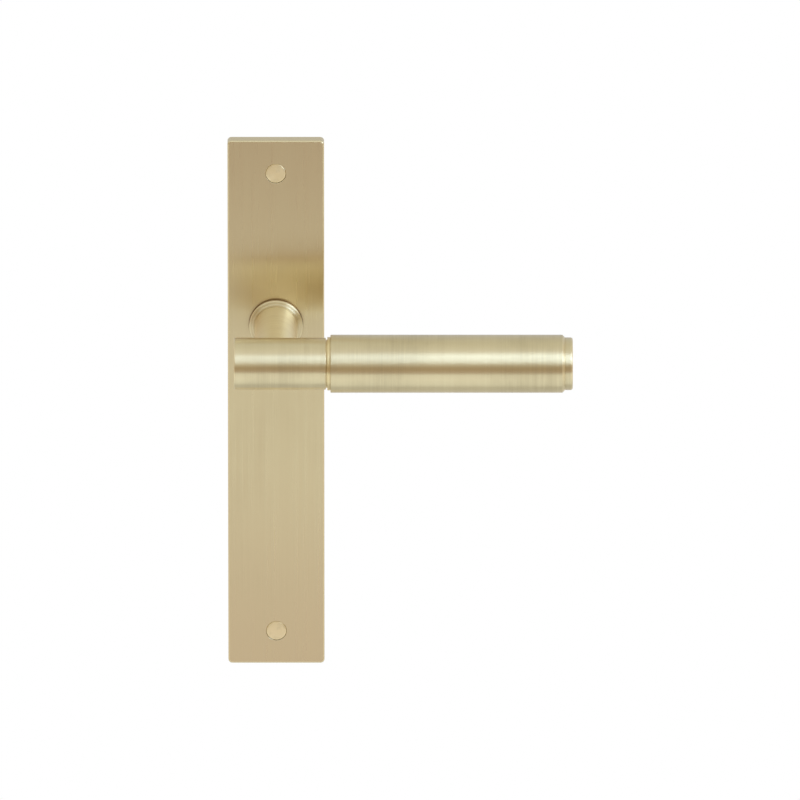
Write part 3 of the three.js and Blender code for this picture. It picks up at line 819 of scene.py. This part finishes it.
def hub():
    left, right = span("lever_hub", X)
    bore, floor = 6.2, 9.0
    body = on_lever(lathe([(0, left), (HUB_RADIUS, left, 0.45), (HUB_RADIUS, right, 0.3), (bore, right, 0.2),
                           (bore, floor), (0, floor)]))
    seat, seat_end = SPIGOT + SEAT, LEVER_Y + 1.9
    spigot_hole = lathe([(0, seat_end), (seat, seat_end), (seat, 0), (0, 0)], FEW_SIDES)
    tap, tap_end = 2.6, LEVER_Y - 5.8
    bolt_hole = lathe([(0, tap_end), (tap, tap_end), (tap, 0), (0, 0)], FEW_SIDES)
    return cut(body, on_spindle(spigot_hole), on_spindle(bolt_hole))


def spacer_ring():
    """A bright ring with a shallow groove beside the hub. It reaches its neighbours, so no gap shows."""
    left, right = span("lever_hub", X)[1] + SEAT, span("grip_sleeve", X)[0] - SEAT
    radius = radius_of("spacer_ring")
    inner, groove = 9.2, 10.0
    land = span("spacer_ring", X)[0] + 0.5
    return on_lever(lathe([(inner, left), (groove, left), (groove, land), (radius, land, 0.2),
                           (radius, right, 0.2), (inner, right)]))


def grip_sleeve():
    left, right = span("grip_sleeve", X)
    radius = radius_of("grip_sleeve")
    bore, chamfer = 9.3, 1.0
    return on_lever(lathe([(bore, left), (radius, left, 0.2), (radius, right - chamfer, 0.3),
                           (radius - chamfer, right, 0.3), (bore, right, 0.2)]))


def core_bar():
    left, right = span("core_bar", X)
    hub_end = span("lever_hub", X)[1]
    boss_start = span("end_cap", X)[0]
    tenon, bar, bored, tapped = 6.05, 9, 6.2, 3
    shoulder, bored_to, tapped_to = hub_end + 0.3, boss_start - 0.2, 103.5
    return on_lever(lathe([
        (0, left), (tenon, left, 0.5), (tenon, shoulder), (bar, shoulder, 0.3), (bar, right, 0.3),
        (bored, right), (bored, bored_to), (tapped, bored_to), (tapped, tapped_to),
        (0, tapped_to)], FEW_SIDES))


def end_cap():
    boss_start, right = span("end_cap", X)
    left = span("grip_sleeve", X)[1] + SEAT
    radius = radius_of("end_cap")
    boss, tapped, tap_end, rounding = 6, 3.0, 118.7, 0.9
    return on_lever(lathe([
        (tapped, boss_start), (boss, boss_start, 0.3), (boss, left), (radius, left, 0.2),
        (radius, right, rounding), (0, right), (0, tap_end), (tapped, tap_end)]))


piece("lever_hub", hub(), lever_brass)
piece("spacer_ring", spacer_ring(), ring_brass)
piece("grip_sleeve", grip_sleeve(), lever_brass)
piece("core_bar", core_bar(), raw_brass)
piece("end_cap", end_cap(), lever_brass)
stud = threaded_rod(radius_of("end_cap_stud"), 1.0, *span("end_cap_stud", X))
piece("end_cap_stud", on_lever(stud), dark_steel)


# ------------------------------------------------------------------ spring cassette

CUP = {"outer": 17.8, "inner": 16.2, "floor": -0.6, "hole": 9.8}
LUG = {"width": 5.0, "depth": 1.5, "inner": 16.3, "outer": 17.6}
NOTCH = (15, 19)  # from inside the cup's wall to beyond it
DRIVER = {"sleeve": 10.4, "arm_back": 1.1, "width": 4.0, "inner": 14.3, "outer": 15.6, "angle": 155.0}
WIRE = 0.85
SPRING = {"radius": 12.7, "front": 2.2, "back": 6.8, "angle": 20.0, "turns": 2, "outer": 17.3, "bend": 1.8}
BEND_STEPS = 6
COIL_STEPS = 120
TRAVEL = frame["joints"][0]["range_deg"][1]


def bush():
    front, back = span("neck_bush", Y)
    flange = radius_of("neck_bush")
    inner, spigot, step = 8.15, 9.6, -2.05
    return on_spindle(lathe([(inner, front, 0.2), (flange, front, 0.2), (flange, step), (spigot, step),
                             (spigot, back, 0.2), (inner, back, 0.2)], FEW_SIDES))


def housing():
    front, rim = span("cassette_housing", Y)
    floor, outer, inner, opening = CUP["floor"], CUP["outer"], CUP["inner"], CUP["hole"]
    ears = prism(stadium(6.0, EAR["reach"]), front, floor)
    core = inner - 1
    low, high = front - BEYOND, floor + BEYOND
    middle = lathe([(0, low), (core, low), (core, high), (0, high)], FEW_SIDES)
    cup = lathe([(opening, front), (outer, front), (outer, rim, 0.3), (inner, rim, 0.3), (inner, floor, 0.8),
                 (opening, floor, 0.15)])
    notch = LUG["width"] / 2 + 0.2
    near, far = NOTCH
    notches = blocks_at_sides(near, far, rim - LUG["depth"] - 0.1, rim + BEYOND, notch)
    leg_half, leg_front = WIRE + 0.25, SPRING["back"] - WIRE - 0.3
    leg = block((-leg_half, leg_front, near), (leg_half, rim + BEYOND, far))
    clear, sunk = 1.5, 2.8
    holes = at_ears([(0, front - BEYOND), (clear, front - BEYOND), (clear, floor - 1.3), (sunk, floor),
                     (sunk, rim), (0, rim)])
    whole = join(cup, cut(ears, middle))
    return on_spindle(cut(whole, moved(leg, turn=SPRING["angle"]), *notches, *holes))


def cover():
    """A pressed steel lid with rounded rims, two locating lugs and the slot that stops the lever's travel."""
    lug_front, back = span("cassette_cover", Y)
    front = lug_front + LUG["depth"]
    half = LUG["width"] / 2
    opening, outer = 8.5, CUP["outer"]
    disc = lathe([(opening, front, 0.1), (outer, front, 0.1), (outer, back, 0.5), (opening, back, 0.3)])
    lugs = blocks_at_sides(LUG["inner"], LUG["outer"], lug_front, front + 0.5, half)
    tab = math.degrees(DRIVER["width"] / 2 / DRIVER["inner"]) + 1.2
    slot = ring_sector(DRIVER["inner"] - 0.3, DRIVER["outer"] + 0.3, DRIVER["angle"] - tab,
                       DRIVER["angle"] + TRAVEL + tab, front - BEYOND, back + BEYOND)
    return on_spindle(cut(join(disc, *lugs), slot))


def driver():
    """A sleeve keyed to the neck's flats, with an arm whose tab pushes the spring and meets the stops."""
    front, tab_back = span("spring_driver", Y)
    sleeve, half = DRIVER["sleeve"], DRIVER["width"] / 2
    back = 7.4
    body = lathe([(0, front), (sleeve, front, 0.3), (sleeve, back, 0.3), (0, back)])
    arm = block((-half, front, sleeve - 2), (half, DRIVER["arm_back"], DRIVER["outer"]))
    tab = block((-half, front, DRIVER["inner"]), (half, tab_back, DRIVER["outer"]))
    gap = 0.15
    hole, low, high = SHANK + gap, front - BEYOND, back + BEYOND
    round_part = lathe([(0, low), (hole, low), (hole, high), (0, high)])
    flat_part = block((-FLAT - gap, low - BEYOND, -WIDE), (FLAT + gap, high + BEYOND, WIDE))
    bore = combined("INTERSECT", round_part, flat_part)
    angle = DRIVER["angle"]
    return on_spindle(cut(join(body, moved(arm, turn=angle), moved(tab, turn=angle)), bore))


def leg(angle, outer, winding, y):
    """Points from a leg's outer end, in along a radius and round a bend to the coil, and the angle there."""
    coil, bend = SPRING["radius"], SPRING["bend"]
    lean = math.degrees(math.asin(bend / (coil + bend)))
    centre = clock(angle + winding * lean, coil + bend, y)
    touch = clock(angle, math.sqrt((coil + bend) ** 2 - bend ** 2), y)
    joining = clock(angle + winding * lean, coil, y)
    start, end = touch - centre, joining - centre
    points = [clock(angle, outer, y)]
    for step in range(BEND_STEPS + 1):
        points.append(centre + start.slerp(end, step / BEND_STEPS))
    return points, angle + winding * lean


def return_spring():
    tab_edge = math.degrees((DRIVER["width"] / 2 + WIRE + 0.2) / DRIVER["inner"])
    fixed, first = leg(SPRING["angle"], SPRING["outer"], 1, SPRING["back"])
    moving_angle = DRIVER["angle"] + tab_edge + 360 * SPRING["turns"]
    moving, last = leg(moving_angle, DRIVER["outer"], -1, SPRING["front"])
    pitch = SPRING["front"] - SPRING["back"]
    coil = [clock(first + (last - first) * i / COIL_STEPS, SPRING["radius"],
                  SPRING["back"] + pitch * i / COIL_STEPS) for i in range(1, COIL_STEPS)]
    return on_spindle(swept(fixed + coil + moving[::-1], WIRE))


def wave_washer():
    inner, outer, thick, waves = 8.4, radius_of("wave_washer"), 0.3, 3
    front = span("cassette_cover", Y)[1]
    back = span("circlip", Y)[0]
    middle, height = (front + back) / 2, (back - front - thick) / 2 - SEAT
    ring = lathe([(inner, middle - thick / 2, 0.08), (outer, middle - thick / 2, 0.08),
                  (outer, middle + thick / 2, 0.08), (inner, middle + thick / 2, 0.08)])
    for vertex in ring.verts:
        vertex.co.y += height * math.cos(waves * math.atan2(vertex.co.x, vertex.co.z))
    return on_spindle(ring)


def circlip():
    """An external retaining ring: widest opposite its opening, with an eye at each end for the pliers."""
    front, back = span("circlip", Y)
    inner, wide, narrow, opening = 7.25, 9.6, 8.9, 20.0
    eye, eye_hole, eye_place, eye_angle = 1.7, 0.7, 9.7, opening + 4
    steps = 72
    angles = [opening + (360 - 2 * opening) * i / steps for i in range(steps + 1)]
    outer = [clock(a, narrow + (wide - narrow) * (1 - math.cos(math.radians(a))) / 2) for a in angles]
    inside = [clock(a, inner) for a in reversed(angles)]
    ring = prism([(at.x, at.z) for at in outer + inside], front, back)
    eyes = [clock(side * eye_angle, eye_place) for side in (1, -1)]
    discs = [moved(lathe([(0, front), (eye, front), (eye, back), (0, back)], FEW_SIDES), at) for at in eyes]
    low, high = front - BEYOND, back + BEYOND
    pin = [(0, low), (eye_hole, low), (eye_hole, high), (0, high)]
    holes = [moved(lathe(pin, FEW_SIDES), at) for at in eyes]
    bore = lathe([(0, low), (inner, low), (inner, high), (0, high)])
    return on_spindle(cut(join(ring, *discs), bore, *holes))


piece("neck_bush", bush(), acetal)
piece("cassette_housing", housing(), cast_zinc, edge=0.12)
piece("cassette_cover", cover(), plain_steel, edge=0.08)
piece("spring_driver", driver(), plain_steel, edge=0.2)
piece("wave_washer", wave_washer(), spring_steel)
piece("circlip", circlip(), dark_steel, edge=0.08)
for side, z in (("upper", EAR["screw"]), ("lower", -EAR["screw"])):
    cassette_node = f"{side}_cassette_screw"
    tip, face = span(cassette_node, Y)
    small = countersunk_screw(radius_of(cassette_node), shank=1.4, pitch=0.5, face=face, tip=tip)
    piece(cassette_node, on_spindle(moved(small, (0, 0, z))), plain_steel)

spring = piece("return_spring", return_spring(), spring_steel, rides=False)
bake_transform(spring)


# ------------------------------------------------------------------ studio and camera, in metres

WHITE = (1.0, 1.0, 1.0)
CAMERA_ELEVATION = 21.5
CAMERA_DISTANCE = 14.0  # far, to keep lines parallel, but under 16, past which a camera on another side would clip the scene
VIEW_WIDTH = 0.3322  # width of the picture at the plate
SENSOR = 36.0
AIM_Z = 0.0013
AIM = Vector(((CAD_BOX[0].x + CAD_BOX[1].x) / 2, PLATE_FRONT * MM, AIM_Z))
FLOOR_DROP = 0.5
FLOOR_Z = CAD_BOX[0].z - FLOOR_DROP
FLOOR_RADIUS = 0.6  # low and small, so that it doesn't hide the object from a little below
PAPER_STRENGTH = 1.0


def towards(azimuth, elevation):
    """A direction by its angles in degrees: azimuth 0 is the side of the person at the door, and 90 is +X."""
    a, e = math.radians(azimuth), math.radians(elevation)
    return Vector((math.sin(a) * math.cos(e), -math.cos(a) * math.cos(e), math.sin(e)))


def add_camera():
    lens = bpy.data.cameras.new("camera")
    lens.sensor_width = SENSOR
    lens.lens = SENSOR * CAMERA_DISTANCE / VIEW_WIDTH
    lens.clip_end = 3 * CAMERA_DISTANCE
    camera = bpy.data.objects.new("camera", lens)
    back = towards(0, CAMERA_ELEVATION)
    camera.location = AIM + back * CAMERA_DISTANCE
    camera.rotation_euler = back.to_track_quat("Z", "Y").to_euler()
    bpy.context.scene.collection.objects.link(camera)
    bpy.context.scene.camera = camera


def add_floor():
    """White paper under the object, glowing plain white. It gives no light and shows in no reflection."""
    paper = bpy.data.materials.new("white_paper")
    make = Nodes(paper)
    make.tree.nodes.remove(make.tree.nodes["Principled BSDF"])
    glow = make.node("Emission", {"Strength": PAPER_STRENGTH})
    make.put(make.tree.nodes["Material Output"].inputs["Surface"], glow.outputs[0])
    disc = bmesh.new()
    bmesh.ops.create_circle(disc, cap_ends=True, segments=FEW_SIDES, radius=FLOOR_RADIUS)
    mesh = bpy.data.meshes.new("floor")
    moved(disc, (0, 0, FLOOR_Z)).to_mesh(mesh)
    disc.free()
    floor = bpy.data.objects.new("floor", mesh)
    mesh.materials.append(paper)
    bpy.context.scene.collection.objects.link(floor)
    floor.visible_diffuse = False
    floor.visible_glossy = False
    floor.visible_transmission = False
    floor.visible_shadow = False


# The studio's light round the lever, by the angle in degrees up from the front, over the top and on behind.
STUDIO = (
    (-180, (0.62, 0.63, 0.62)), (-155, (0.74, 0.7, 0.6)), (-115, (0.62, 0.64, 0.62)), (-75, (0.7, 0.73, 0.7)),
    (-50, (0.76, 0.79, 0.77)), (-33, (0.78, 0.79, 0.77)), (-23, (0.27, 0.12, 0.07)), (-14, (0.6, 0.53, 0.45)),
    (-4, (0.42, 0.32, 0.2)), (3, (0.4, 0.31, 0.19)), (12, (0.6, 0.56, 0.48)), (22, (0.72, 0.72, 0.66)),
    (45, (0.76, 0.82, 0.86)), (60, (0.92, 0.97, 1.0)), (75, (0.93, 0.97, 0.98)), (92, (0.82, 0.85, 0.8)),
    (125, (0.72, 0.73, 0.66)), (158, (0.64, 0.66, 0.67)), (180, (0.6, 0.62, 0.64)),
)
SIDES_OF_STUDIO = (0.74, 0.68, 0.58)
SIDES_BLEND = (0.6, 0.95)  # share of X in a direction, where the sides start and where they are full
STUDIO_PEAK = max(max(colour) for angle, colour in STUDIO)


def add_surroundings():
    """A studio of soft light that changes smoothly with height. The camera itself sees plain white."""
    world = bpy.data.worlds.new("surroundings")
    make = Nodes(world)
    parts = make.node("SeparateXYZ", {"Vector": make.node("TexCoord").outputs["Generated"]}).outputs
    angle = make.math("ARCTAN2", parts["Z"], make.math("MULTIPLY", parts["Y"], -1))
    turned = make.node("MapRange", {"Value": angle, "From Min": -math.pi, "From Max": math.pi}).outputs[0]
    ramp = make.node("ValToRGB", {"Fac": turned})
    ramp.color_ramp.interpolation = "B_SPLINE"
    stops = ramp.color_ramp.elements
    while len(stops) < len(STUDIO):
        stops.new(0.5)
    for stop, (degrees, colour) in zip(stops, STUDIO):
        stop.position = (degrees + 180) / 360
        stop.color = rgb(*(part / STUDIO_PEAK for part in colour))
    to_sides = make.ramp(make.math("ABSOLUTE", parts["X"]), *SIDES_BLEND)
    sides = rgb(*(part / STUDIO_PEAK for part in SIDES_OF_STUDIO))
    studio = make.tree.nodes["Background"]
    make.put(studio.inputs["Color"], make.mix(to_sides, ramp.outputs[0], sides))
    make.put(studio.inputs["Strength"], STUDIO_PEAK)
    plain = make.node("Background", {"Color": rgb(*WHITE), "Strength": PAPER_STRENGTH})
    seen = make.node("MixShader")
    by_camera = make.node("LightPath").outputs["Is Camera Ray"]
    for socket, value in zip(seen.inputs, (by_camera, studio.outputs[0], plain.outputs[0])):
        make.put(socket, value)
    make.put(make.tree.nodes["World Output"].inputs["Surface"], seen.outputs[0])
    bpy.context.scene.world = world


def softbox(name, centre, facing, size, radiance, colour):
    """A rectangular light at a place in metres, facing a direction, with its own brightness."""
    light = bpy.data.lights.new(name, "AREA")
    light.shape = "RECTANGLE"
    light.size, light.size_y = size
    light.energy = radiance * size[0] * size[1] * math.pi
    light.color = colour
    box = bpy.data.objects.new(name, light)
    box.location = centre
    box.rotation_euler = (-facing).to_track_quat("Z", "Y").to_euler()
    box.visible_camera = False
    bpy.context.scene.collection.objects.link(box)


add_camera()
add_floor()
add_surroundings()

NECK_MIDDLE = Vector((0, -0.03, SPINDLE_Z * MM))
KEY_DIRECTION = towards(53.5, 29)
KEY_DISTANCE = 0.4
KEY_SIZE = (0.2, 0.22)
KEY_RADIANCE = 4.7
KEY_COLOUR = (0.52, 0.7, 1.0)
key_centre = NECK_MIDDLE + KEY_DIRECTION * KEY_DISTANCE
softbox("key_softbox", key_centre, -KEY_DIRECTION, KEY_SIZE, KEY_RADIANCE, KEY_COLOUR)

# White sheets low down in front. Seen by the camera, the plate mirrors their far edge above the neck and
# the nearer parts lower down.
UP = Vector((0, 0, 1))
SHEET_Z = -0.3
SHEET_WIDTH = 2.0
SHEETS = (
    {"name": "far_sheet", "far": -0.92, "near": -0.6, "radiance": 0.61, "colour": (0.69, 0.94, 1.0)},
    {"name": "near_sheet", "far": -0.6, "near": -0.1, "radiance": 0.3, "colour": (0.8, 0.9, 1.0)},
)
for sheet in SHEETS:
    middle = Vector((AIM.x, (sheet["far"] + sheet["near"]) / 2, SHEET_Z))
    size = (SHEET_WIDTH, sheet["near"] - sheet["far"])
    softbox(sheet["name"], middle, UP, size, sheet["radiance"], sheet["colour"])

bpy.context.scene.view_settings.view_transform = "Standard"
